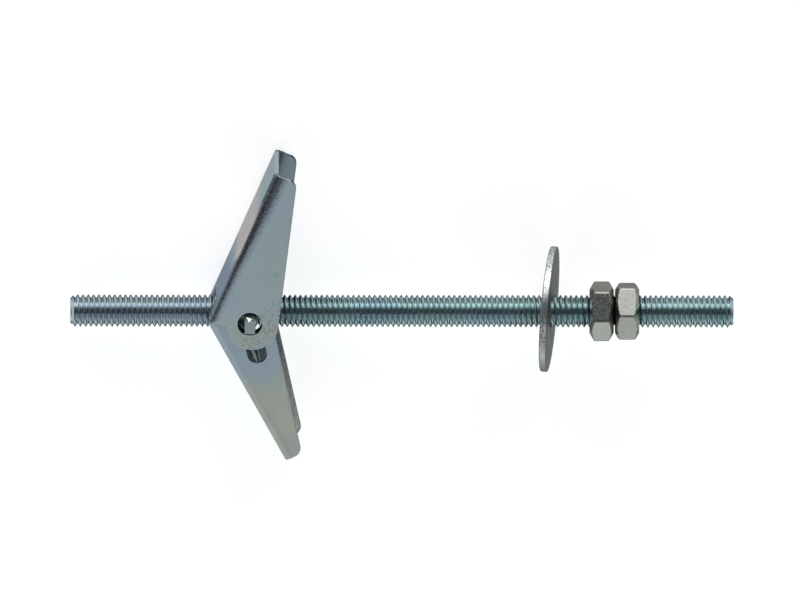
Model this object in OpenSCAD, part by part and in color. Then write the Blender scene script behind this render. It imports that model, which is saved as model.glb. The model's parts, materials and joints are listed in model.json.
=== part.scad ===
// Spring toggle wall anchor: two sprung channel wings on a threaded rod, with a wide washer and two nuts.
// Millimetres. The anchor lies on the floor (Z = 0) on its washer's rim and its outer wing's heel.
// Every piece is drawn along the rod first: X along the rod, Z along the wings' pivot, 0 where the two cross.

/* [Threaded rod] */
// Length of the rod
rod_length = 100; // [80:1:150]
// Outside diameter of the rod's thread
rod_d = 4.9; // [4:0.1:6]
// Chamfer at each end of the rod
rod_chamfer = 0.6; // [0.2:0.1:1]
// Distance from the rod's left end to the wings' pivot
toggle_at = 27.1; // [15:0.1:32]
// Radial play of everything that runs on the rod
play = 0.05; // [0.03:0.01:0.1]

/* [Wings] */
// Thickness of the folded sheet
sheet = 0.7; // [0.5:0.05:0.9]
// Width of the outer wing over its two flanges
outer_width = 12; // [11.8:0.1:14]
// Outside radius of the bend between spine and flange
bend_r = 1.1; // [1:0.1:1.5]
// Gap between the nested flanges of the two wings
nest_gap = 0.1; // [0.05:0.01:0.2]
// Distance from the pivot to the outside of the outer wing's spine
outer_spine = 5.85; // [5.7:0.05:7]
// Distance from the pivot to the tip of the outer wing
outer_reach = 23.5; // [18:0.1:28]
// Length of the outer wing's heel behind the pivot
outer_heel = 1.7; // [1.2:0.1:2]
// Radius of the outer flanges' lobe round the pivot
outer_lobe = 4; // [3.8:0.05:4.3]
// Angle between the rod and the opened outer wing
outer_open = 67.1; // [60:0.1:70]
// Distance from the pivot to the outside of the inner wing's spine
inner_spine = 5.75; // [5.4:0.05:6]
// Distance from the pivot to the tip of the inner wing
inner_reach = 22.25; // [17:0.1:27]
// Length of the inner wing's heel behind the pivot
inner_heel = 2.6; // [2.2:0.1:2.8]
// Radius of the inner flanges' lobe round the pivot
inner_lobe = 2.95; // [2.8:0.05:3.3]
// Angle between the rod and the opened inner wing
inner_open = 62; // [58:0.1:66]
// Shift of each lobe's centre from the pivot, away from the spine
lobe_shift = 0.35; // [0.2:0.05:0.4]
// Taper of the flanges, between their open edge and the spine
taper = 16; // [15:0.1:18]
// Radius of the flanges' corners at the tip
tip_r = 1.4; // [0.6:0.1:2]
// Radius of the concave corner between heel and lobe
heel_fillet = 0.5; // [0.3:0.1:0.8]
// Side clearance between the rod and the notch in each spine
notch_side = 0.45; // [0.2:0.05:0.6]
// Clearance between the rod and the end of each notch when the wing is open
notch_stop = 0.08; // [0.04:0.01:0.15]
// Width of the slot in the inner flanges
slot_width = 2.9; // [2.4:0.1:3.2]
// Distance from the pivot to the centre of the slot's round end
slot_reach = 5.15; // [4.5:0.05:5.4]

/* [Trunnion nut] */
// Thickness of the nut's plate
plate = 1.6; // [1.2:0.1:1.8]
// Height of each square-cut pivot tab
tab_height = 3.2; // [2.8:0.1:3.3]
// Radial play of the tabs in the wings' pivot holes
tab_play = 0.03; // [0.02:0.01:0.08]
// Height of the nut's plate across the rod
plate_height = 8; // [7.6:0.1:8.4]
// Wall of the drawn collar round the thread
collar_wall = 0.6; // [0.4:0.05:0.65]
// Length of the collar
collar_length = 2.6; // [2:0.1:3]
// Bevel on the upper edge of each tab's end
tab_bevel = 1; // [0.5:0.1:1.2]
// Lead-in at each end of a thread
lead_in = 0.4; // [0.2:0.05:0.5]

/* [Spring] */
// Diameter of the spring's wire
wire_d = 0.55; // [0.4:0.05:0.6]
// Gap between the spring's coils and what lies above and below them
coil_side_gap = 0.06; // [0.04:0.01:0.08]
// Gap between the spring's coils and the tabs that they go round
coil_gap = 0.12; // [0.1:0.01:0.2]
// Distance from the pivot at which the spring bears on the outer wing
outer_bearing = 9; // [8:0.1:11]
// Distance from the pivot at which the spring bears on the inner wing
inner_bearing = 13.5; // [12:0.1:15]
// Gap between the spring's legs and the spines that they push on
leg_gap = 0.05; // [0.03:0.01:0.1]
// Distance along the inner wing at which each leg is bent
knee_reach = 4.6; // [4.2:0.1:5]
// Distance from the pivot's level to that bend, towards the spine
knee_side = 1.8; // [1.5:0.1:2.1]
// Length of each leg that the bend takes up, on both sides of it
knee_size = 1.5; // [1:0.1:1.8]
// Length of wire that each bend of the bridge takes up, on both sides of it
bridge_bend = 0.8; // [0.6:0.1:1]

/* [Washer] */
// Outside diameter of the washer
washer_d = 19; // [17:0.5:24]
// Diameter of the washer's hole
washer_hole = 6.1; // [5.8:0.1:6.8]
// Height of the loose washer's centre over the rod's axis
washer_lift = 0; // [0:0.05:0.25]
// Sideways place of the loose washer's centre
washer_shift = 0.35; // [0:0.05:0.35]
// Thickness of the washer
washer_t = 1; // [0.8:0.1:1.6]
// Distance from the rod's left end to the middle of the washer
washer_at = 72.2; // [71.5:0.1:73]
// Turn of the loose washer about the upright axis
washer_turn = -2.8; // [-3:0.1:3]
// Lean of the loose washer along the rod
washer_lean = -6.2; // [-6.5:0.1:2]

/* [Nuts] */
// Width of each nut across its flats
nut_flats = 8; // [7:0.1:10]
// Width of each nut's round face, inside its chamfer
nut_face = 6.6; // [6.4:0.1:7.6]
// Thickness of each nut
nut_t = 3.65; // [3:0.05:4.5]
// Distance from the rod's left end to the inner nut
nut_at = 78.3; // [77:0.1:85]
// Gap between the two nuts
nut_gap = 0.2; // [0.1:0.05:1]
// Turn of the inner nut on the rod
inner_nut_turn = 1; // [0:0.1:60]
// Turn of the outer nut on the rod
outer_nut_turn = 50; // [0:0.1:60]

/* [Hidden] */
$fn = 64;

rod_r = rod_d / 2;
bore_r = rod_r + play;
inner_width = outer_width - 2 * (sheet + nest_gap);
between_flanges = inner_width - 2 * sheet;
tab_r = norm([plate, tab_height]) / 2;
pivot_r = tab_r + tab_play;
collar_r = bore_r + collar_wall;
past = 1;                // how far a cut runs past the face that it opens

// The spring's coils go round the tabs, between the collar and the inner wing's flanges.
wire_r = wire_d / 2;
coil_r = tab_r + coil_gap + wire_r;
coil_low = collar_r + coil_side_gap + wire_r;
coil_high = between_flanges / 2 - coil_side_gap - wire_r;
coil_steps = 36;
coil_turns = 2;          // whole turns of each coil, besides what lies between its two legs
wire_sides = 8;
nut_seam = 13;           // turn of a nut's chamfers, which keeps their seam clear of the corners

// How the anchor lies: its rod leans, so that both the washer's rim and the outer wing's heel are down.
washer_x = washer_at - toggle_at;
washer_low = [washer_x - washer_d / 2 * sin(washer_lean) - washer_t / 2,
              washer_d / 2 * cos(washer_lean) + washer_t / 2 * sin(abs(washer_lean)) - washer_lift];
heel_x = -outer_heel * cos(outer_open) - (outer_spine - bend_r) * sin(outer_open);
lean = atan((washer_low.y - outer_width / 2) / (washer_low.x - heel_x));
rest_height = outer_width / 2 * cos(lean) - heel_x * sin(lean);
middle_x = (rod_length / 2 - toggle_at) * cos(lean);
middle_y = (outer_reach * sin(outer_open) + outer_spine * cos(outer_open)
            - inner_reach * sin(inner_open) - inner_spine * cos(inner_open)) / 2;

// Lays a piece that is drawn along the rod down on the floor.
module lay() {
    translate([-middle_x, -middle_y, rest_height]) rotate([0, -lean, 0]) children();
}

// A round bar or bore along the rod, from x0 to x1.
module along_rod(r, x0, x1) {
    translate([x0, 0, 0]) rotate([0, 90, 0]) cylinder(r = r, h = x1 - x0);
}

// A threaded hole along the rod, from x0 to x1, with a lead-in at both ends.
module thread_hole(x0, x1) {
    along_rod(bore_r, x0 - past, x1 + past);
    translate([x0, 0, 0]) rotate([0, 90, 0])
        cylinder(r1 = bore_r + lead_in, r2 = bore_r, h = lead_in);
    translate([x1 - lead_in, 0, 0]) rotate([0, 90, 0])
        cylinder(r1 = bore_r, r2 = bore_r + lead_in, h = lead_in);
}

// ---------------------------------------------------------------- threaded rod

module threaded_rod() {
    color("darkslategray")
    translate([-toggle_at, 0, 0]) rotate([0, 90, 0]) rotate_extrude()
        polygon([[0, 0], [rod_r - rod_chamfer, 0], [rod_r, rod_chamfer], [rod_r, rod_length - rod_chamfer],
                 [rod_r - rod_chamfer, rod_length], [0, rod_length]]);
}

// ---------------------------------------------------------------- wings

// Points of an arc round a centre, from one angle to another in steps of about 6 degrees.
function arc(centre, r, from, to) =
    let (steps = ceil(abs(to - from) / 6))
    [for (i = [0 : steps]) let (a = from + (to - from) * i / steps) centre + r * [cos(a), sin(a)]];

// Outline of a wing's flange: X runs from the pivot to the tip, Y from the spine to the open edge.
// It goes past the spine, which the section across the wing ends.
function flange_outline(spine, reach, heel, lobe) =
    let (edge = lobe + lobe_shift * cos(taper),       // distance from the pivot to the open edge
         tip = [reach - tip_r, (edge - tip_r - (reach - tip_r) * sin(taper)) / cos(taper)],
         middle = [0, lobe_shift],
         notch = [-heel - heel_fillet,
                  lobe_shift - sqrt(pow(lobe + heel_fillet, 2) - pow(heel + heel_fillet, 2))],
         turned = atan2(notch.y - lobe_shift, notch.x) + 360)    // from the lobe's centre to the notch's
    concat([[-heel, -spine - past], [reach, -spine - past]],
           arc(tip, tip_r, 0, 90 - taper),
           arc(middle, lobe, 90 - taper, turned),
           arc(notch, heel_fillet, turned - 180, 0));

// A filled U: X runs from its round-cornered bottom at -bottom to its open side, Y across it.
module u_shape(bottom, depth, width, r) {
    translate([r - bottom, -width / 2]) square([depth, width]);
    translate([-bottom, r - width / 2]) square([depth, width - 2 * r]);
    for (side = [-1, 1]) translate([r - bottom, side * (width / 2 - r)]) circle(r = r);
}

// A wing that lies along X, with its pivot at the origin, its spine at -Y and its flanges square to Z.
module wing(width, spine, reach, heel, lobe, open) {
    depth = spine + lobe + lobe_shift;
    behind = lobe + past;
    // The notch ends where the spine of the opened wing meets the rod.
    notch_end = (rod_r + notch_stop - (spine - sheet) * cos(open)) / sin(open);
    difference() {
        intersection() {
            translate([-behind, 0, 0]) rotate([90, 0, 90]) linear_extrude(behind + reach + past)
                difference() {
                    u_shape(spine, depth, width, bend_r);
                    u_shape(spine - sheet, depth + past, width - 2 * sheet, bend_r - sheet);
                }
            translate([0, 0, -width / 2 - past]) linear_extrude(width + 2 * past)
                polygon(flange_outline(spine, reach, heel, lobe));
        }
        translate([-behind, -spine - past, -rod_r - notch_side])
            cube([behind + notch_end, bend_r + past, rod_d + 2 * notch_side]);
        cylinder(r = pivot_r, h = width + 2 * past, center = true);
    }
}

module outer_wing() {
    color("lightslategray") rotate([180, 0, outer_open])
        wing(outer_width, outer_spine, outer_reach, outer_heel, outer_lobe, outer_open);
}

module inner_wing() {
    color("slategray") rotate([0, 0, -inner_open]) difference() {
        wing(inner_width, inner_spine, inner_reach, inner_heel, inner_lobe, inner_open);
        // The slot runs from the pivot hole along the middle of each flange.
        rotate([0, 0, -taper]) translate([0, 0, -inner_width / 2 - past])
            linear_extrude(inner_width + 2 * past)
                polygon(concat([[0, slot_width / 2], [0, -slot_width / 2]],
                               arc([slot_reach, 0], slot_width / 2, -90, 90)));
    }
}

// ---------------------------------------------------------------- trunnion nut

module trunnion_nut() {
    back = -plate / 2 - collar_length;
    color("darkgray") difference() {
        union() {
            // round-ended plate, as wide as the collar along the pivot, so that the coils have room
            intersection() {
                cube([plate, plate_height, 2 * collar_r], center = true);
                along_rod(plate_height / 2, -plate / 2, plate / 2);
            }
            along_rod(collar_r, back, 0);
            pivot_tabs();
        }
        thread_hole(back, plate / 2);
    }
}

// The two tabs are one bar across the plate. The upper edge of each end is bevelled.
module pivot_tabs() {
    bevel = tab_bevel * sqrt(2);
    difference() {
        cube([plate, tab_height, outer_width], center = true);
        for (side = [-1, 1]) translate([0, tab_height / 2, side * outer_width / 2])
            rotate([45, 0, 0]) cube([plate + past, bevel, bevel], center = true);
    }
}

// ---------------------------------------------------------------- torsion spring

// Points of an opened wing that lie x along it and y from the pivot towards its open side.
function on_outer(x, y) = x * [cos(outer_open), sin(outer_open)] + y * [sin(outer_open), -cos(outer_open)];
function on_inner(x, y) = x * [cos(inner_open), -sin(inner_open)] + y * [sin(inner_open), cos(inner_open)];
// How far across a wing a leg lies that bears on the inside of its spine.
function bearing(spine) = -(spine - sheet - leg_gap - wire_r);
// Angle on the coil at which a straight leg to point p leaves it.
function leaves(p, way) = atan2(p.y, p.x) + way * acos(coil_r / norm(p));
function up(p, z) = [p.x, p.y, z];
// Rounded corner at b on the way from a to c, which starts and ends the given distance from b.
function corner(a, b, c, size) =
    let (from = b + size * (a - b) / norm(a - b), to = b + size * (c - b) / norm(c - b))
    [for (s = [0 : 0.2 : 1]) (1 - s) * (1 - s) * from + 2 * s * (1 - s) * b + s * s * to];

// Half the wire: from the bridge on the outer wing, round the upper tab, to the leg on the inner wing.
function half_spring() =
    let (bridge = on_outer(outer_bearing, bearing(outer_spine)),
         knee = on_inner(knee_reach, -knee_side),
         end = on_inner(inner_bearing, bearing(inner_spine)),
         from = leaves(bridge, 1), to = leaves(knee, -1) + 360 * coil_turns,
         coil = [for (i = [0 : coil_steps]) let (s = i / coil_steps, a = from + s * (to - from))
                 [coil_r * cos(a), coil_r * sin(a), coil_low + s * (coil_high - coil_low)]])
    concat(corner(up(bridge, 0), up(bridge, coil_low), coil[0], bridge_bend), coil,
           corner(coil[coil_steps], up(knee, coil_high), up(end, coil_high), knee_size),
           [up(end, coil_high)]);

function backwards(list) = [for (i = [len(list) - 1 : -1 : 0]) list[i]];
function unit(v) = v / norm(v);
function heading(path, i) = unit(path[min(i + 1, len(path) - 1)] - path[max(i - 1, 0)]);
function square_to(v, along) = unit(v - (v * along) * along);

// A round wire along a path. Each ring's first spoke stays as near as it can to the one before it.
module wire(path, r) {
    spokes = [for (i = 0, s = square_to([0.3, 0.4, 1], heading(path, 0)); i < len(path);
                   i = i + 1, s = i < len(path) ? square_to(s, heading(path, i)) : s) s];
    points = [for (i = [0 : len(path) - 1]) let (other = cross(heading(path, i), spokes[i]))
              for (k = [0 : wire_sides - 1]) let (a = 360 * k / wire_sides)
              path[i] + r * (cos(a) * spokes[i] + sin(a) * other)];
    ends = [[for (k = [0 : wire_sides - 1]) wire_sides - 1 - k],
            [for (k = [0 : wire_sides - 1]) len(points) - wire_sides + k]];
    walls = [for (i = [0 : len(path) - 2], k = [0 : wire_sides - 1])
             let (a = i * wire_sides + k, b = i * wire_sides + (k + 1) % wire_sides)
             [a, b, b + wire_sides, a + wire_sides]];
    polyhedron(points, [for (face = concat(ends, walls)) backwards(face)], convexity = 6);
}

module torsion_spring() {
    upper = half_spring();
    lower = [for (p = upper) [p.x, p.y, -p.z]];
    color("gray") wire(concat(backwards(lower), upper), wire_r);
}

// ---------------------------------------------------------------- washer and nuts

module large_washer() {
    color("dimgray") translate([washer_x, washer_shift, washer_lift])
    rotate([0, washer_lean, washer_turn]) difference() {
        along_rod(washer_d / 2, -washer_t / 2, washer_t / 2);
        along_rod(washer_hole / 2, -washer_t / 2 - past, washer_t / 2 + past);
    }
}

// A hex nut from x0 on, with the corners of both faces chamfered at 30 degrees.
module hex_nut(x0, turn) {
    wide_r = nut_flats / 2 / cos(30) + past;
    slope = (wide_r - nut_face / 2) * tan(30);
    color("silver") translate([x0, 0, 0]) rotate([turn, 0, 0]) difference() {
        intersection() {
            rotate([0, 90, 0]) cylinder(d = nut_flats / cos(30), h = nut_t, $fn = 6);
            rotate([nut_seam, 0, 0]) rotate([0, 90, 0]) rotate_extrude()
                polygon([[0, 0], [nut_face / 2, 0], [wide_r, slope], [wide_r, nut_t - slope],
                         [nut_face / 2, nut_t], [0, nut_t]]);
        }
        thread_hole(0, nut_t);
    }
}

module inner_nut() { hex_nut(nut_at - toggle_at, inner_nut_turn); }
module outer_nut() { hex_nut(nut_at - toggle_at + nut_t + nut_gap, outer_nut_turn); }

lay() threaded_rod();
lay() trunnion_nut();
lay() outer_wing();
lay() inner_wing();
lay() torsion_spring();
lay() large_washer();
lay() inner_nut();
lay() outer_nut();
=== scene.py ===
"""Dresses the spring toggle anchor: rolled threads, broken edges, wound wire and blue zinc plating."""
import json
import math

import bpy
from mathutils import Matrix, Vector

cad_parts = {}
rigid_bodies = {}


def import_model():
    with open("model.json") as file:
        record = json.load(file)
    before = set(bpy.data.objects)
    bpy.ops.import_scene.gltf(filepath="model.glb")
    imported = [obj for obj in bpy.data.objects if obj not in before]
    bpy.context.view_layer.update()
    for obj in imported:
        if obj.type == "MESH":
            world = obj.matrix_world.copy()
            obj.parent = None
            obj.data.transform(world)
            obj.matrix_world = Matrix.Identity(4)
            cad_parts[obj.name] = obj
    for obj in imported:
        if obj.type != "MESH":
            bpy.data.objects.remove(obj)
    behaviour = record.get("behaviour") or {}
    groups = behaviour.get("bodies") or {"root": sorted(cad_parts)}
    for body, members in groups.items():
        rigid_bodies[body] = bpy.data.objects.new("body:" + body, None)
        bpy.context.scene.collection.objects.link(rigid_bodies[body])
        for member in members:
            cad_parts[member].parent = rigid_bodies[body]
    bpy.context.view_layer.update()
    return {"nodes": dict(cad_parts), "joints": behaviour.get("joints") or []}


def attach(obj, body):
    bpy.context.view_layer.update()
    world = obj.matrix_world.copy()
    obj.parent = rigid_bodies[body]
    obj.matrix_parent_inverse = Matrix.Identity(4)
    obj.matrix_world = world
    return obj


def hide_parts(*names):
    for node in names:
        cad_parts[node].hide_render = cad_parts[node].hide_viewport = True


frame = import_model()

# ------------------------------------------------------------------ sizes, in millimetres
# X runs along the rod, Z along the wings' pivot, and the origin is where the two cross.
MM = 0.001
ROD_START, ROD_END = -27.1, 72.9
ROD_CHAMFER = 0.6
CREST_R, ROOT_R, PITCH = 2.45, 1.965, 0.8
CREST_FLAT, CREST_ROUND = 0.06, 0.03         # half the crest's width, and how far its corners are rounded down
FLANK_FOOT, ROOT_ROUND = 0.33, 0.025         # from mid-crest to the flank's foot, and how far that is raised
TURNS, TURN_STEPS, THREAD_START = 129, 36, 0.24      # the thread starts this and a pitch before the rod does
BORE_R, LEAD_IN = 2.5, 0.4

OUTER_OPEN, INNER_OPEN = 67.1, 62.0          # degrees between the rod and each opened wing
OUTER_HALF, INNER_HALF = 6.0, 5.2            # half the width over the flanges
OUTER_SPINE, INNER_SPINE = 5.85, 5.75        # from the pivot to the outside of the spine
OUTER_REACH, INNER_REACH = 23.5, 22.25       # from the pivot to the tip
OUTER_HOLES_R, INNER_HOLES_R = 2.3, 5.6      # the holes in the flanges lie this near to the pivot
BEND_R, SHEET = 1.1, 0.7
WING_BREAK, TAB_BREAK = 0.1, 0.07            # how far the sheared edges are broken

PLATE, TAB_HEIGHT = 1.6, 3.2
WIRE_R = 0.275
COIL_R = math.hypot(PLATE, TAB_HEIGHT) / 2 + 0.12 + WIRE_R
COIL_LOW, COIL_HIGH = 3.435, 4.165
COIL_TURNS, COIL_STEPS = 2, 64
OUTER_BEARING, INNER_BEARING, LEG_GAP = 9.0, 13.5, 0.05      # where the wire bears on the spines, and its gap
KNEE_REACH, KNEE_SIDE, KNEE_SIZE, BRIDGE_BEND = 4.6, 1.8, 1.5, 0.8

WASHER_R, WASHER_HOLE_R, WASHER_T = 9.5, 3.05, 1.0
WASHER_CENTRE, WASHER_LEAN, WASHER_TURN = (45.1, 0.35, 0), -6.2, -2.8
WASHER_ROLL, WASHER_BURR = 0.24, 0.08        # radius of the rolled-over edges, and width of the sharp ones
NUT_FLATS, NUT_FACE, NUT_T, NUT_CHAMFER = 8.0, 6.6, 3.65, 30
FLATS_BLEND, CHAMFER_BLEND = 0.14, 0.12      # how softly the flats meet each other and the chamfers
NUTS = {"inner_nut": (51.2, 1.0), "outer_nut": (55.05, 50.0)}       # start along the rod, turn on it

WELD, WELD_NODE, WELD_THREAD = 0.0005, 0.0008, 0.002         # corners nearer than this become one

joints = {joint["name"]: joint for joint in frame["joints"]}
along = -Vector(joints["toggle_travel"]["axis"])
pivot_axis = Vector(joints["inner_wing_fold"]["axis"])
across = pivot_axis.cross(along)
ROD = Matrix((along, across, pivot_axis)).transposed().to_4x4()
ROD.translation = Vector(joints["inner_wing_fold"]["pos_m"])
LAID = ROD @ Matrix.Scale(MM, 4)             # millimetres along the rod to metres on the floor
OUTER = Matrix.Rotation(math.radians(OUTER_OPEN), 4, "Z") @ Matrix.Rotation(math.pi, 4, "X")
INNER = Matrix.Rotation(math.radians(-INNER_OPEN), 4, "Z")

# ------------------------------------------------------------------ camera

VIEW_TILT, VIEW_ROLL = math.radians(20), math.radians(0.095)
VIEW_WIDTH, LENS, SENSOR = 0.12066, 1200, 36                 # metres across the view, then millimetres
AIM_ALONG, AIM_UP = 22.62, 1.65                              # from the pivot to the middle of the view

view_up = math.cos(VIEW_TILT) * across - math.sin(VIEW_TILT) * pivot_axis
view_back = math.sin(VIEW_TILT) * across + math.cos(VIEW_TILT) * pivot_axis
distance = VIEW_WIDTH * LENS / SENSOR
aim = ROD.translation + (AIM_ALONG * along + AIM_UP * view_up) * MM
camera_data = bpy.data.cameras.new("camera")
camera_data.lens, camera_data.sensor_width = LENS, SENSOR
camera_data.clip_start, camera_data.clip_end = 0.05, 20
camera = bpy.data.objects.new("camera", camera_data)
bpy.context.scene.collection.objects.link(camera)
camera.matrix_world = (Matrix.Translation(aim + view_back * distance)
                       @ Matrix((along, view_up, view_back)).transposed().to_4x4()
                       @ Matrix.Rotation(VIEW_ROLL, 4, "Z"))
bpy.context.scene.camera = camera
bpy.context.scene.view_settings.view_transform = "Standard"


# ------------------------------------------------------------------ light and floor

def linear(colour):
    """An sRGB hex colour as linear RGBA."""
    values = [int(colour[i:i + 2], 16) / 255 for i in (1, 3, 5)]
    return [v / 12.92 if v <= 0.04045 else ((v + 0.055) / 1.055) ** 2.4 for v in values] + [1.0]


def add(tree, kind, settings=None, links=None):
    """Adds a shader node, sets its properties and sockets, and links its inputs."""
    node = tree.nodes.new("ShaderNode" + kind)
    for name, value in (settings or {}).items():
        if isinstance(name, int) or name in node.inputs:
            node.inputs[name].default_value = value
        else:
            setattr(node, name, value)
    for name, socket in (links or {}).items():
        tree.links.new(socket, node.inputs[name])
    return node


LAMP_AWAY = 0.75


def softbox(name, towards, size, radiance, colour):
    """A soft rectangular lamp, sized in metres, that faces the anchor from the given direction."""
    data = bpy.data.lights.new(name, "AREA")
    data.shape, data.size, data.size_y = "RECTANGLE", size[0], size[1]
    data.energy = radiance * math.pi * size[0] * size[1]
    data.color = linear(colour)[:3]
    lamp = bpy.data.objects.new(name, data)
    bpy.context.scene.collection.objects.link(lamp)
    towards = Vector(towards).normalized()
    lamp.location = towards * LAMP_AWAY
    lamp.rotation_mode = "QUATERNION"
    lamp.rotation_quaternion = towards.to_track_quat("Z", "X")
    lamp.visible_camera = False


# Four strip lamps lie along the rod, two behind it and two in front, the lower one of each pair the stronger.
softbox("low_key_lamp", (0, 0.97, 0.242), (0.374, 0.95), 1.95, "#FFFFFF")
softbox("high_key_lamp", (0, 0.809, 0.588), (0.21, 0.95), 0.9, "#FFFFFF")
softbox("low_fill_lamp", (0, -0.934, 0.358), (0.516, 1.5), 0.8, "#F8FAFF")
softbox("high_fill_lamp", (0, -0.51, 0.86), (0.56, 1.5), 0.52, "#F0F6FF")

# World: plain white to the camera. To all else it is a grey room, dim overhead and dimmer at the rod's ends.
world = bpy.data.worlds.new("pale studio")
bpy.context.scene.world = world
world.use_nodes = True
sky = world.node_tree
sky.nodes.clear()
sky_rays = add(sky, "LightPath")
where = add(sky, "TexCoord")
direction = add(sky, "SeparateXYZ", links={0: where.outputs["Generated"]})
ceiling = add(sky, "ValToRGB", links={"Fac": direction.outputs["Z"]})
low_tone, high_tone = ceiling.color_ramp.elements
low_tone.position, low_tone.color = 0.05, linear("#A9AFB3")
high_tone.position, high_tone.color = 0.95, linear("#50565A")
ceiling.color_ramp.elements.new(0.45).color = linear("#6C7276")
end_on = add(sky, "Math", {"operation": "ABSOLUTE"}, {0: direction.outputs["X"]})
dim = add(sky, "MapRange", {"From Min": 0.25, "From Max": 0.75, "To Min": 1.0, "To Max": 0.38},
          {"Value": end_on.outputs[0]})
walls = add(sky, "MixRGB", {"blend_type": "MULTIPLY", 0: 1.0},
            {1: ceiling.outputs["Color"], 2: dim.outputs["Result"]})
room = add(sky, "Background", {"Strength": 1.0}, {"Color": walls.outputs[0]})
white = add(sky, "Background", {"Color": (1, 1, 1, 1), "Strength": 1.0})
seen = add(sky, "MixShader", links={0: sky_rays.outputs["Is Camera Ray"], 1: room.outputs[0],
                                    2: white.outputs[0]})
add(sky, "OutputWorld", links={"Surface": seen.outputs[0]})

# Floor: matt white card. A glow of its own makes it white to the camera and through glass, and paler than the
# room in the metal.
FLOOR_GLOW, MIRRORED_SHARE = 0.72, 0.62
floor_paint = bpy.data.materials.new("matt white card")
floor_paint.use_nodes = True
card = floor_paint.node_tree
card.nodes.clear()
card_rays = add(card, "LightPath")
mirrored = add(card, "Math", {"operation": "MULTIPLY", 1: MIRRORED_SHARE},
               {0: card_rays.outputs["Is Glossy Ray"]})
met = add(card, "Math", {"operation": "MAXIMUM"},
          {0: card_rays.outputs["Is Camera Ray"], 1: mirrored.outputs[0]})
shown = add(card, "Math", {"operation": "MAXIMUM"},
            {0: met.outputs[0], 1: card_rays.outputs["Is Transmission Ray"]})
glow = add(card, "Math", {"operation": "MULTIPLY", 1: FLOOR_GLOW}, {0: shown.outputs[0]})
matt = add(card, "BsdfDiffuse", {"Color": linear("#E6E6E6")})
lit = add(card, "Emission", {"Color": (1, 1, 1, 1)}, {"Strength": glow.outputs[0]})
both = add(card, "AddShader", links={0: matt.outputs[0], 1: lit.outputs[0]})
add(card, "OutputMaterial", links={"Surface": both.outputs[0]})
bpy.ops.mesh.primitive_plane_add(size=6)
floor = bpy.context.object
floor.name = "floor"
floor.data.materials.append(floor_paint)


# ------------------------------------------------------------------ zinc plating

def mask(tree, value, low, high, dark=0.0, light=1.0):
    """A smooth step of a value, from dark at low to light at high."""
    return add(tree, "MapRange", {"From Min": low, "From Max": high, "To Min": dark, "To Max": light,
                                  "interpolation_type": "SMOOTHSTEP"}, {"Value": value}).outputs["Result"]


def times(tree, *values):
    """The product of sockets and numbers."""
    product = values[0]
    for value in values[1:]:
        node = add(tree, "Math", {"operation": "MULTIPLY"}, {0: product})
        if isinstance(value, float):
            node.inputs[1].default_value = value
        else:
            tree.links.new(value, node.inputs[1])
        product = node.outputs[0]
    return product


def paint(tree, under, colour, share):
    """Lays a colour over another where the share says."""
    return add(tree, "MixRGB", {2: linear(colour)}, {0: share, 1: under}).outputs[0]


def shade(tree, under, value):
    """Darkens or lightens a colour by a value."""
    return add(tree, "MixRGB", {"blend_type": "MULTIPLY", 0: 1.0}, {1: under, 2: value}).outputs[0]


FILM_LOW, FILM_HIGH = 0.28, 0.72             # where the noise that drives the tints starts and ends
PORE_CELLS, PORE_R = 0.9, 0.05               # cells a millimetre, and a pore's radius in cells
RELIEF = 0.00002                             # height of the crystals in metres


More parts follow.
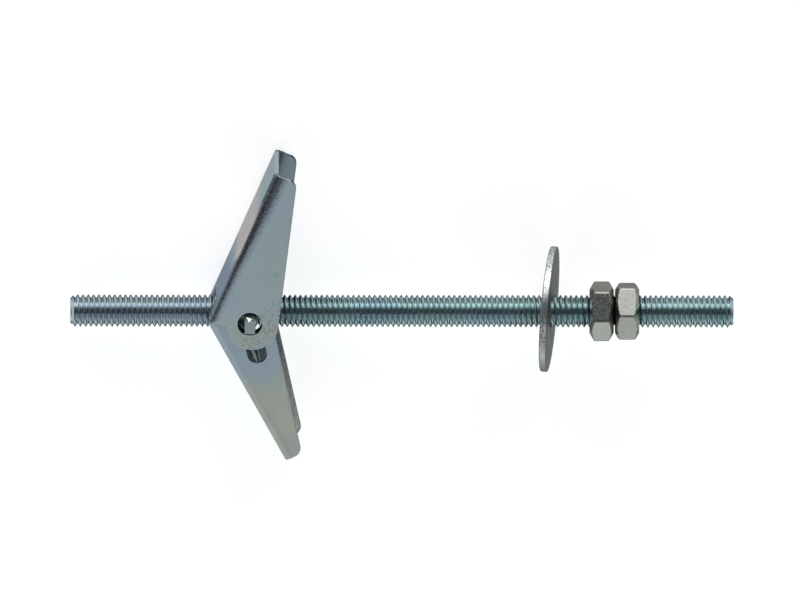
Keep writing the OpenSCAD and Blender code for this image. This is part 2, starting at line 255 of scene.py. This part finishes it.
class Zinc:
    """Blue-passivated zinc plate on steel: a clear, faintly rainbow film over small crystals.

    The eye gets drifting cold and warm tints, fine dark pores and a satin sheen that darkens towards the
    outline. frame_of turns the patterns' millimetres to the piece. slant moves the tints along X, along Y and
    everywhere, grain is the size of the crystals in millimetres, spots the share of pores and mottle the
    crystals' range of brightness. Real crystals and pores are hundredths of a millimetre across, too fine to
    show, so they are drawn some ten times as coarse.
    """

    def __init__(self, name, frame_of, tints, roughness, grain, spots,
                 bump=0.12, slant=(0.0, 0.0, 0.0), mottle=(0.86, 1.1)):
        self.material = bpy.data.materials.new(name)
        self.material.use_nodes = True
        self.tree = tree = self.material.node_tree
        place = frame_of @ Matrix.Scale(MM, 4)
        spot = add(tree, "TexCoord")
        self.mm = add(tree, "Mapping", {"vector_type": "TEXTURE", "Location": place.translation,
                                        "Scale": (MM, MM, MM), "Rotation": place.to_euler()},
                      {"Vector": spot.outputs["Object"]}).outputs[0]
        self.axes = add(tree, "SeparateXYZ", links={0: self.mm}).outputs
        leant = add(tree, "Math", {"operation": "ADD", 1: slant[2]},
                    {0: self.noise(0.09, 1.5, 0.45, 0.5)}).outputs[0]
        for axis, slope in zip("XY", slant):
            leant = add(tree, "Math", {"operation": "MULTIPLY_ADD", 1: slope},
                        {0: self.axes[axis], 2: leant}).outputs[0]
        film = add(tree, "ValToRGB", links={"Fac": leant})
        first, last = film.color_ramp.elements
        first.position, first.color = FILM_LOW, linear(tints[0])
        last.position, last.color = FILM_HIGH, linear(tints[-1])
        for i, tint in enumerate(tints[1:-1], 1):
            position = FILM_LOW + (FILM_HIGH - FILM_LOW) * i / (len(tints) - 1)
            film.color_ramp.elements.new(position).color = linear(tint)
        self.crystals = self.noise(1 / grain, 4.0, 0.65)
        colour = shade(tree, film.outputs["Color"], mask(tree, self.crystals, 0.3, 0.7, *mottle))
        pores = add(tree, "TexVoronoi", {"Scale": PORE_CELLS, "Randomness": 1.0}, {"Vector": self.mm})
        open_share = mask(tree, pores.outputs["Distance"], PORE_R, PORE_R + 0.16 * spots, 0.55, 1.0)
        self.colour = shade(tree, colour, open_share)
        self.rough = mask(tree, self.crystals, 0.3, 0.7, roughness - 0.06, roughness + 0.08)
        self.bump = bump

    def noise(self, scale, detail=2.0, roughness=0.5, distortion=0.0):
        """Noise with this many waves a millimetre."""
        node = add(self.tree, "TexNoise", {"Scale": scale, "Detail": detail, "Roughness": roughness,
                                           "Distortion": distortion}, {"Vector": self.mm})
        return node.outputs["Fac"]

    def paint(self, colour, *shares):
        """Lays a colour over the plate, by the product of the shares."""
        self.colour = paint(self.tree, self.colour, colour, times(self.tree, *shares))

    def speckle(self, colour, share, patches, speck=2.6):
        """Fine dark flecks gathered in patches, as marks in the film and, inside the channel, as painted shade.
        """
        flecks = mask(self.tree, self.noise(speck, 3.0, 0.7), 0.52, 0.62)
        self.paint(colour, flecks, patches, share)

    def finish(self, edge="#7C868A"):
        """Links what was mixed to the shader. The edge tint darkens the metal where it turns away."""
        shader = self.tree.nodes["Principled BSDF"]
        relief = add(self.tree, "Bump", {"Strength": self.bump, "Distance": RELIEF}, {"Height": self.crystals})
        shader.inputs["Metallic"].default_value = 1.0
        shader.inputs["Specular Tint"].default_value = linear(edge)
        self.tree.links.new(self.colour, shader.inputs["Base Color"])
        self.tree.links.new(self.rough, shader.inputs["Roughness"])
        self.tree.links.new(relief.outputs["Normal"], shader.inputs["Normal"])
        return self.material


def wing_sheet(name, frame_of, tints, half, spine, length, shade_strength, slant):
    """Zinc plate on folded sheet, with painted shade along the bends, more so at the tip, and inside the
    channel.
    """
    zinc = Zinc(name, frame_of, tints, 0.46, 0.3, 0.1, bump=0.06, slant=slant, mottle=(0.95, 1.04))
    tree, axes = zinc.tree, zinc.axes
    edge_patches = times(tree, mask(tree, axes["Y"], -2.5, 1.5), mask(tree, zinc.noise(0.22, 2.0), 0.42, 0.6))
    zinc.speckle("#7C8680", 0.5, edge_patches)
    # distance from the spine's plane, less what the painted shade along the bends gains towards the tip
    depth = add(tree, "Math", {"operation": "ADD", 1: spine}, {0: axes["Y"]}).outputs[0]
    gain = mask(tree, axes["X"], 0.0, length, -0.45, 0.6)
    gained = add(tree, "Math", {"operation": "SUBTRACT"}, {0: depth, 1: gain}).outputs[0]
    out = add(tree, "Math", {"operation": "ABSOLUTE"}, {0: axes["Z"]}).outputs[0]
    on_side = mask(tree, out, half - BEND_R - 0.1, half - BEND_R + 0.3)
    core = times(tree, mask(tree, gained, BEND_R * 0.55, BEND_R * 1.15, 1.0, 0.0), on_side)
    fringe = times(tree, mask(tree, gained, BEND_R * 0.9, BEND_R + 0.9, 1.0, 0.0), on_side)
    fringe_breakup = mask(tree, zinc.noise(4.0, 3.0, 0.75), 0.42, 0.58)
    core_breakup = mask(tree, zinc.noise(3.0, 3.0, 0.75), 0.34, 0.5, 0.45, 1.0)
    # painted shade along the bends: a dark core and a fringe, broken into flecks
    zinc.paint("#4E5058", core, core_breakup, 0.8 * shade_strength)
    zinc.paint("#565C60", fringe, fringe_breakup, 0.75 * shade_strength)
    # painted shade inside the channel, deepest near the pivot and fading towards the tip, with dark flecks
    # where the bends get little shade
    inside = times(tree, mask(tree, depth, SHEET * 0.4, SHEET * 0.6),
                   mask(tree, out, half - SHEET * 0.6, half - SHEET * 0.4, 1.0, 0.0))
    zinc.paint("#6F7C84", inside, mask(tree, axes["X"], 6.0, 18.0, 0.4 + 0.3 * shade_strength, 0.0))
    zinc.speckle("#3C4446", 0.5 * (1.0 - shade_strength), inside, 3.0)
    return zinc


def tint_spine(zinc, spine):
    """The outside of the spine: blue near the pivot, then rosy."""
    tree, x = zinc.tree, zinc.axes["X"]
    drift = add(tree, "Math", {"operation": "MULTIPLY_ADD", 1: 6.0}, {0: zinc.noise(0.25), 2: x}).outputs[0]
    on_spine = mask(tree, zinc.axes["Y"], -spine + 0.05, -spine + 0.3, 1.0, 0.0)
    rosy, ends = mask(tree, drift, 10.0, 13.0), mask(tree, drift, 18.0, 23.0, 0.85, 0.0)
    zinc.paint("#F0E4E2", on_spine, rosy, ends)
    zinc.paint("#A4B0C4", on_spine, mask(tree, drift, 8.0, 12.5, 0.9, 0.0))


def sheared(name, frame_of):
    """Zinc plate over a sheared edge: bright where the punch burnished it, with painted shade in the holes, and
    dark at the tip.
    """
    zinc = Zinc(name, frame_of, ["#B4BCC0", "#C2C6C6", "#A9B2B6"], 0.34, 0.18, 0.4, bump=0.3)
    tree, x, y = zinc.tree, zinc.axes["X"], zinc.axes["Y"]
    x_squared = add(tree, "Math", {"operation": "MULTIPLY"}, {0: x, 1: x}).outputs[0]
    y_squared = add(tree, "Math", {"operation": "MULTIPLY"}, {0: y, 1: y}).outputs[0]
    away_squared = add(tree, "Math", {"operation": "ADD"}, {0: x_squared, 1: y_squared}).outputs[0]
    # painted shade in the holes round the pivot
    zinc.colour = paint(tree, zinc.colour, "#3E464A", mask(tree, away_squared, 4.0, 5.2, 0.9, 0.0))
    zinc.colour = paint(tree, zinc.colour, "#4A4648", mask(tree, x, 19.0, 22.0, 0.0, 0.85))
    return zinc.finish()


def rolled_thread():
    """Zinc plate on a rolled thread: smooth and glossy, with a paler film towards the rod's start."""
    zinc = Zinc("blue zinc plate on rolled thread", ROD, ["#B2CCD0", "#BAD0D2", "#C2D8D8", "#BAD0D8"],
                0.22, 0.5, 0.2, bump=0.04)
    pale_end = mask(zinc.tree, zinc.axes["X"], -14.0, 4.0, 0.5, 0.0)
    zinc.colour = paint(zinc.tree, zinc.colour, "#C6C8D4", pale_end)
    return zinc.finish("#22282A")


def stamped_rim():
    """Zinc plate on the washer's torn rim: rough, flecked beside one clean high patch, with painted shade low
    down.
    """
    zinc = Zinc("rough zinc plate on the washer's stamped rim", ROD, ["#F0F2F0", "#EAECE8", "#F4F6F4"],
                0.26, 0.22, 0.6, bump=0.9)
    tree, y = zinc.tree, zinc.axes["Y"]
    patch_height = 4.4
    past_patch = add(tree, "Math", {"operation": "SUBTRACT", 1: patch_height}, {0: y}).outputs[0]
    from_patch = add(tree, "Math", {"operation": "ABSOLUTE"}, {0: past_patch}).outputs[0]
    zinc.speckle("#2E3234", 0.85, times(tree, mask(tree, from_patch, 1.0, 2.4), mask(tree, y, -4.0, -1.5)), 3.0)
    # painted shade: the rim darkens below its middle
    zinc.colour = shade(tree, zinc.colour, mask(tree, y, -2.0, 2.5, 0.46, 1.0))
    return zinc.finish("#A0A4A4")


rod_zinc = rolled_thread()
outer_film = wing_sheet("satin zinc plate on the outer wing's sheet", ROD @ OUTER,
                        ["#C8D5DC", "#C9D6DA", "#C9D8D5", "#D0D6C9", "#C7D5D9"],
                        OUTER_HALF, OUTER_SPINE, OUTER_REACH, 1.0, (0.0, 0.018, -0.06))
tint_spine(outer_film, OUTER_SPINE)
outer_zinc = outer_film.finish("#B4BCC0")
inner_film = wing_sheet("satin zinc plate on the inner wing's sheet", ROD @ INNER,
                        ["#C2D2D9", "#C4D3D6", "#CAD5CE", "#D6D8C6", "#D4D4C8", "#D8DAC8"],
                        INNER_HALF, INNER_SPINE, INNER_REACH, 0.12, (0.018, 0.012, -0.27))
inner_zinc = inner_film.finish("#B4BCC0")
# the broken edges on the side that faces up are painted near white: a painted highlight
edge_highlight_zinc = Zinc("painted highlight on the sheet's upper edges", ROD, ["#F6FAFA", "#FCFCFC", "#F4F8FA"],
                   0.24, 0.25, 0.0).finish("#F0F4F4")
outer_edge = sheared("sheared edge of the outer wing", ROD @ OUTER)
inner_edge = sheared("sheared edge of the inner wing", ROD @ INNER)
# the nut's plate is a little warmer than the wings, its sheared tabs are torn dull grey, with a painted glint
# on one burr
tab_zinc = Zinc("zinc plate on the stamped nut", ROD, ["#B4C2C0", "#BAC4BE", "#AEBEC0"],
                0.40, 0.25, 0.6, bump=0.3).finish()
torn_zinc = Zinc("torn end of a sheared tab", ROD, ["#6E787A", "#7E8682", "#66727A"],
                 0.55, 0.2, 0.8, bump=0.5).finish()
burr_glint_zinc = Zinc("burr painted near white as a glint", ROD, ["#F4F6F6", "#FCFCFC", "#F0F4F4"], 0.2, 0.3, 0.0).finish("#F0F4F4")
# drawn wire is smooth and shines; the coils, deep between the flanges, are painted dark: painted shade
wire_zinc = Zinc("zinc plate on drawn spring wire", ROD, ["#B4C0C6", "#BCC6CC", "#B0BCBE"],
                 0.30, 0.3, 0.5).finish()
coil_shade_zinc = Zinc("spring wire painted dark as shade in the channel", ROD, ["#4E585E", "#586066", "#4A5458"],
                 0.34, 0.3, 0.5).finish()
rim_zinc = stamped_rim()
# the washer and the nuts are plated greyer and warmer than the wings, and the nuts shine more
washer_zinc = Zinc("satin zinc plate on the stamped washer", ROD, ["#B0AFA6", "#B5B3AA", "#A9ABA2"],
                   0.36, 0.25, 1.2, bump=0.4).finish()
nut_zinc = Zinc("satin zinc plate on the hexagon nuts", ROD, ["#A9A9A0", "#A3A49C", "#ADADA5", "#A1A39F"],
                0.24, 0.3, 0.4).finish("#AEB2B0")


# ------------------------------------------------------------------ modelling

def only(piece):
    """Makes the piece the one that is selected and active."""
    for each in bpy.context.view_layer.objects:
        each.select_set(False)
    bpy.context.view_layer.objects.active = piece
    piece.select_set(True)


def edit(piece):
    """Opens the piece for editing, with all of it selected."""
    only(piece)
    bpy.ops.object.mode_set(mode="EDIT")
    bpy.ops.mesh.select_all(action="SELECT")


def close():
    """Ends the editing."""
    bpy.ops.object.mode_set(mode="OBJECT")


def face_outwards():
    """Turns all faces of the piece in editing outwards, and ends the editing."""
    bpy.ops.mesh.select_all(action="SELECT")
    bpy.ops.mesh.normals_make_consistent(inside=False)
    close()


def smooth(piece, degrees):
    """Shades the piece smooth, apart from the edges that are sharper than this."""
    only(piece)
    bpy.ops.object.shade_smooth_by_angle(angle=math.radians(degrees))


def modify(piece, kind, **settings):
    """Adds a modifier and applies it."""
    only(piece)
    modifier = piece.modifiers.new(kind, kind)
    for name, value in settings.items():
        setattr(modifier, name, value)
    bpy.ops.object.modifier_apply(modifier=modifier.name)


def draw(name, points, closed=False):
    """A thin outline, drawn by extruding one corner from point to point."""
    bpy.ops.mesh.primitive_plane_add(size=1)
    piece = bpy.context.object
    piece.name = name
    edit(piece)
    bpy.ops.mesh.merge(type="CENTER")
    points = [Vector(point) for point in points]
    bpy.ops.transform.translate(value=points[0])
    for here, there in zip(points, points[1:] + points[:1] if closed else points[1:]):
        bpy.ops.mesh.extrude_region_move(TRANSFORM_OT_translate={"value": there - here})
    bpy.ops.mesh.select_all(action="SELECT")
    bpy.ops.mesh.remove_doubles(threshold=WELD)
    close()
    return piece


def turned(name, points, steps):
    """A ring or solid, spun round the rod's axis from an outline of (x, radius)."""
    piece = draw(name, [(x, 0, radius) for x, radius in points], closed=True)
    edit(piece)
    bpy.ops.mesh.spin(steps=steps, angle=2 * math.pi, center=(0, 0, 0), axis=(1, 0, 0))
    bpy.ops.mesh.select_all(action="SELECT")
    bpy.ops.mesh.remove_doubles(threshold=WELD)
    face_outwards()
    return piece


def keep_shared(piece, tool):
    """Keeps only what the piece shares with the tool, and uses the tool up."""
    modify(piece, "BOOLEAN", operation="INTERSECT", solver="EXACT", object=tool)
    bpy.data.objects.remove(tool)


def soften(piece, width, clamp=True):
    """Breaks the sharp edges, and keeps the flats flat under smooth shading."""
    modify(piece, "BEVEL", width=width, segments=2, limit_method="ANGLE", angle_limit=math.radians(30),
           use_clamp_overlap=clamp, miter_outer="MITER_ARC" if clamp else "MITER_SHARP")
    smooth(piece, 50)
    modify(piece, "WEIGHTED_NORMAL", keep_sharp=True, weight=50)


def finish_piece(piece, material, body, slot, *nodes, place=None):
    """Lays the piece down in the anchor, paints it and fastens it to its body."""
    piece.data.transform(LAID @ place if place else LAID)
    piece.data.materials.clear()
    piece.data.materials.append(material)
    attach(piece, body)
    if nodes:
        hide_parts(*nodes)


def repaint(piece, faces, material):
    """Gives some faces a second material."""
    piece.data.materials.append(material)
    for index in faces:
        piece.data.polygons[index].material_index = 1


def copy_node(node, name):
    """A merged copy of a CAD node, in millimetres along the rod, with its flats made whole."""
    piece = bpy.data.objects.new(name, frame["nodes"][node].data.copy())
    bpy.context.scene.collection.objects.link(piece)
    piece.data.transform(LAID.inverted())
    edit(piece)
    bpy.ops.mesh.remove_doubles(threshold=WELD_NODE)
    bpy.ops.mesh.dissolve_limited(angle_limit=math.radians(0.6))
    face_outwards()
    return piece


# ---- rod: rolled M5 thread, right-handed, from end to end
crest_side, foot = CREST_R - CREST_ROUND, ROOT_R + ROOT_ROUND
profile = [(-PITCH / 2, ROOT_R), (-FLANK_FOOT, foot), (-CREST_FLAT, crest_side), (0, CREST_R),
           (CREST_FLAT, crest_side), (FLANK_FOOT, foot), (PITCH / 2, ROOT_R)]
rod = draw("rod_thread", [(ROD_START - PITCH - THREAD_START + x, 0, radius) for x, radius in profile])
modify(rod, "SCREW", axis="X", angle=2 * math.pi, screw_offset=PITCH, iterations=TURNS, steps=TURN_STEPS,
       render_steps=TURN_STEPS, use_merge_vertices=False, use_normal_calculate=True)
edit(rod)
bpy.ops.mesh.remove_doubles(threshold=WELD_THREAD)
END_SPARE, BLANK_SPARE = 0.2, 0.15           # thread left past the ends, and blank past the crests, for the cut
for at, inner in ((ROD_START - END_SPARE, True), (ROD_END + END_SPARE, False)):
    bpy.ops.mesh.select_all(action="SELECT")
    bpy.ops.mesh.bisect(plane_co=(at, 0, 0), plane_no=(1, 0, 0), use_fill=True, clear_inner=inner,
                        clear_outer=not inner)
face_outwards()
end_r, blank_r, slope = CREST_R - ROD_CHAMFER, CREST_R + BLANK_SPARE, ROD_CHAMFER + BLANK_SPARE
blank = turned("blank", [(ROD_START, 0), (ROD_START, end_r), (ROD_START + slope, blank_r),
                         (ROD_END - slope, blank_r), (ROD_END, end_r), (ROD_END, 0)], 96)
keep_shared(rod, blank)
smooth(rod, 44)
finish_piece(rod, rod_zinc, "rod", "rod_steel", "threaded_rod")

# ---- wings: folded sheet with sheared edges
PLATED, SHEARED, HIGHLIT_EDGE = 0, 1, 2            # the materials of a wing
SKIN, BROKEN = 0.01, 0.14                    # how far under the surface the plated face and the broken edge end


def depth_in_sheet(point, half, spine):
    """How far under the folded sheet's outside a point of the wing lies."""
    down, out = point.y + spine - BEND_R, abs(point.z) - half + BEND_R
    if down < 0 and out > 0:
        return BEND_R - math.hypot(down, out)
    return min(down + BEND_R, BEND_R - out)


def wing_finish(depth, point, near, holes_r):
    """What a face of the wing shows: plated sides, sheared ends and, outside the holes, broken edges."""
    under = min(depth, SHEET - depth)
    if under > BROKEN:
        return SHEARED
    if under <= SKIN or math.hypot(point.x, point.y) < holes_r:
        return PLATED
    # broken edges on the side that faces up carry the painted highlight, the others the sheared finish
    return HIGHLIT_EDGE if point.z * near > 0 else SHEARED


def dress_wing(node, turn, half, spine, plated, cut_edge, near, holes_r):
    """Breaks a wing's edges and paints them; near is the sign of Z on the side that faces up."""
    wing = copy_node(node, node + "_sheet")
    soften(wing, WING_BREAK, clamp=False)
    to_wing = turn.inverted()
    depths = [depth_in_sheet(to_wing @ face.center, half, spine) for face in wing.data.polygons]
    finish_piece(wing, plated, node, "wing_steel", node)
    wing.data.materials.append(cut_edge)
    wing.data.materials.append(edge_highlight_zinc)
    in_wing = (LAID @ turn).inverted()
    for face, depth in zip(wing.data.polygons, depths):
        face.material_index = wing_finish(depth, in_wing @ face.center, near, holes_r)


dress_wing("outer_wing", OUTER, OUTER_HALF, OUTER_SPINE, outer_zinc, outer_edge, -1, OUTER_HOLES_R)
dress_wing("inner_wing", INNER, INNER_HALF, INNER_SPINE, inner_zinc, inner_edge, 1, INNER_HOLES_R)

# ---- stamped nut between the wings: the bevel of each tab is torn, with a painted glint on one burr
nut_plate = copy_node("trunnion_nut", "tabbed_nut")
soften(nut_plate, TAB_BREAK)
TORN_Y, TORN_Z, TORN_SLANT = 0.5, 4.9, 0.4           # where the tabs' slanted faces start, and their slant
torn = [face.index for face in nut_plate.data.polygons
        if face.center.y > TORN_Y and abs(face.center.z) > TORN_Z
        and face.normal.y > TORN_SLANT and abs(face.normal.z) > TORN_SLANT]
tab_burr = draw("tab_burr", [(-0.54, 1.03, 5.67), (0.33, 0.78, 5.92), (-0.17, 0.4, 6.3)], closed=True)
edit(tab_burr)
bpy.ops.mesh.edge_face_add()
bpy.ops.mesh.extrude_region_move(TRANSFORM_OT_translate={"value": (0.02, 0.03, 0.06)})
face_outwards()
finish_piece(nut_plate, tab_zinc, "toggle", "wing_steel", "trunnion_nut")
repaint(nut_plate, torn, torn_zinc)
finish_piece(tab_burr, burr_glint_zinc, "toggle", "wing_steel")


# ---- spring: two coils on the toggle, a bridge that rides on one wing and a leg each side on the other
def on_wing(turn, x, y, z):
    """A point of an opened wing as a point along the rod; turn is the wing's own frame."""
    point = turn @ Vector((x, y, 0))
    return Vector((point.x, point.y, z))


def leaves(point, way):
    """Angle on the coil at which a straight leg to the point leaves it."""
    return math.atan2(point.y, point.x) + way * math.acos(COIL_R / math.hypot(point.x, point.y))


def coil_point(angle, z):
    """A point on the coil."""
    return Vector((COIL_R * math.cos(angle), COIL_R * math.sin(angle), z))


def rounded(before, corner, after, size):
    """Points of a rounded corner on the way from one point to another."""
    start = corner + size * (before - corner).normalized()
    end = corner + size * (after - corner).normalized()
    return [(1 - s) ** 2 * start + 2 * s * (1 - s) * corner + s ** 2 * end for s in (0, 0.2, 0.4, 0.6, 0.8, 1)]


def wire(name, points, body, material):
    """A round wire along the points."""
    only(draw(name, points))
    bpy.ops.object.convert(target="CURVE")
    curve = bpy.context.object
    curve.data.bevel_depth, curve.data.bevel_resolution = WIRE_R, 3
    curve.data.use_fill_caps = True
    bpy.ops.object.convert(target="MESH")
    piece = bpy.context.object
    edit(piece)
    bpy.ops.mesh.remove_doubles(threshold=WELD)
    face_outwards()
    smooth(piece, 60)
    finish_piece(piece, material, body, "spring_steel", "torsion_spring")


bridge = on_wing(OUTER, OUTER_BEARING, -(OUTER_SPINE - SHEET - LEG_GAP - WIRE_R), 0)
knee = on_wing(INNER, KNEE_REACH, -KNEE_SIDE, COIL_HIGH)
leg_end = on_wing(INNER, INNER_BEARING, -(INNER_SPINE - SHEET - LEG_GAP - WIRE_R), COIL_HIGH)
coil_from, coil_to = leaves(bridge, 1), leaves(knee, -1) + 2 * math.pi * COIL_TURNS
for level, sign in (("upper", 1), ("lower", -1)):
    flip = Matrix.Diagonal((1, 1, sign, 1))
    coil = [coil_point(coil_from + (coil_to - coil_from) * i / COIL_STEPS,
                       COIL_LOW + (COIL_HIGH - COIL_LOW) * i / COIL_STEPS) for i in range(COIL_STEPS + 1)]
    wire("spring_coil_" + level, [flip @ point for point in coil], "toggle", coil_shade_zinc)
    leg = [coil[-1]] + rounded(coil[-1], knee, leg_end, KNEE_SIZE) + [leg_end]
    wire("spring_leg_" + level, [flip @ point for point in leg], "inner_wing", wire_zinc)
top, bottom = bridge + Vector((0, 0, COIL_LOW)), bridge - Vector((0, 0, COIL_LOW))
high_start, low_start = coil_point(coil_from, COIL_LOW), coil_point(coil_from, -COIL_LOW)
wire("spring_bridge", [high_start] + list(reversed(rounded(bridge, top, high_start, BRIDGE_BEND)))
     + rounded(top, bottom, low_start, BRIDGE_BEND) + [low_start], "outer_wing", wire_zinc)

# ---- washer: stamped, with a rolled-over rim on one face and a sharper one on the other
half_t, nick = WASHER_T / 2, WASHER_BURR * 0.3
quarter = [math.radians(degrees) for degrees in (90, 67, 45, 22, 0)]
rim = [(-half_t + WASHER_ROLL * (1 - math.sin(a)), WASHER_R - WASHER_ROLL * (1 - math.cos(a))) for a in quarter]
rim += [(half_t - WASHER_BURR, WASHER_R), (half_t - nick, WASHER_R - nick), (half_t, WASHER_R - WASHER_BURR)]
hole = [(half_t, WASHER_HOLE_R + WASHER_BURR), (half_t - nick, WASHER_HOLE_R + nick),
        (half_t - WASHER_BURR, WASHER_HOLE_R)]
hole += [(-half_t + WASHER_ROLL * (1 - math.sin(a)), WASHER_HOLE_R + WASHER_ROLL * (1 - math.cos(a)))
         for a in reversed(quarter)]
washer = turned("stamped_washer", rim + hole, 128)
smooth(washer, 40)
rim_faces = [face.index for face in washer.data.polygons
             if abs(face.normal.x) < 0.6 and math.hypot(face.center.y, face.center.z) > WASHER_R - 1]
washer_place = (Matrix.Translation(WASHER_CENTRE) @ Matrix.Rotation(math.radians(WASHER_TURN), 4, "Z")
                @ Matrix.Rotation(math.radians(WASHER_LEAN), 4, "Y"))
finish_piece(washer, washer_zinc, "washer", "washer_steel", "large_washer", place=washer_place)
repaint(washer, rim_faces, rim_zinc)


# ---- hexagon nuts: forged, with round-cornered flats, deep chamfers and a countersunk bore
def soft_least(values, blend):
    """The least of the values, rounded off where two of them meet."""
    least = values[0]
    for value in values[1:]:
        share = max(blend - abs(least - value), 0) / blend
        least = min(least, value) - share * share * blend / 4
    return least


def to_hexagon(vertex):
    """Draws a point on the side of the round blank in to the hexagon; the faces and the bore stay round."""
    radius = math.hypot(vertex.co.y, vertex.co.z)
    if radius > NUT_FACE / 2 + 0.01:
        angle = math.atan2(vertex.co.y, vertex.co.z)
        flats = [NUT_FLATS / 2 / max(math.cos(angle - math.radians(60 * k + 30)), 0.5) for k in range(6)]
        drawn_in = soft_least([radius, soft_least(sorted(flats)[:2], FLATS_BLEND)], CHAMFER_BLEND) / radius
        vertex.co.y *= drawn_in
        vertex.co.z *= drawn_in


CHAMFER_RINGS, SIDE_RINGS, NUT_STEPS = 6, 30, 180
face_r, corner_r = NUT_FACE / 2, NUT_FLATS / 2 / math.cos(math.radians(30))
rise = (corner_r - face_r) * math.tan(math.radians(NUT_CHAMFER))
chamfer = [(rise * i / CHAMFER_RINGS, face_r + (corner_r - face_r) * i / CHAMFER_RINGS)
           for i in range(CHAMFER_RINGS + 1)]
side = [(rise + (NUT_T - 2 * rise) * i / SIDE_RINGS, corner_r) for i in range(1, SIDE_RINGS)]
bore = [(NUT_T, BORE_R + LEAD_IN), (NUT_T - LEAD_IN, BORE_R), (LEAD_IN, BORE_R), (0, BORE_R + LEAD_IN)]
nut_outline = chamfer + side + [(NUT_T - x, radius) for x, radius in reversed(chamfer)] + bore
for node, (start, turn) in NUTS.items():
    nut = turned(node + "_hexagon", nut_outline, NUT_STEPS)
    for vertex in nut.data.vertices:
        to_hexagon(vertex)
    smooth(nut, 32)
    place = Matrix.Translation((start, 0, 0)) @ Matrix.Rotation(math.radians(turn), 4, "X")
    finish_piece(nut, nut_zinc, node, "nut_steel", node, place=place)
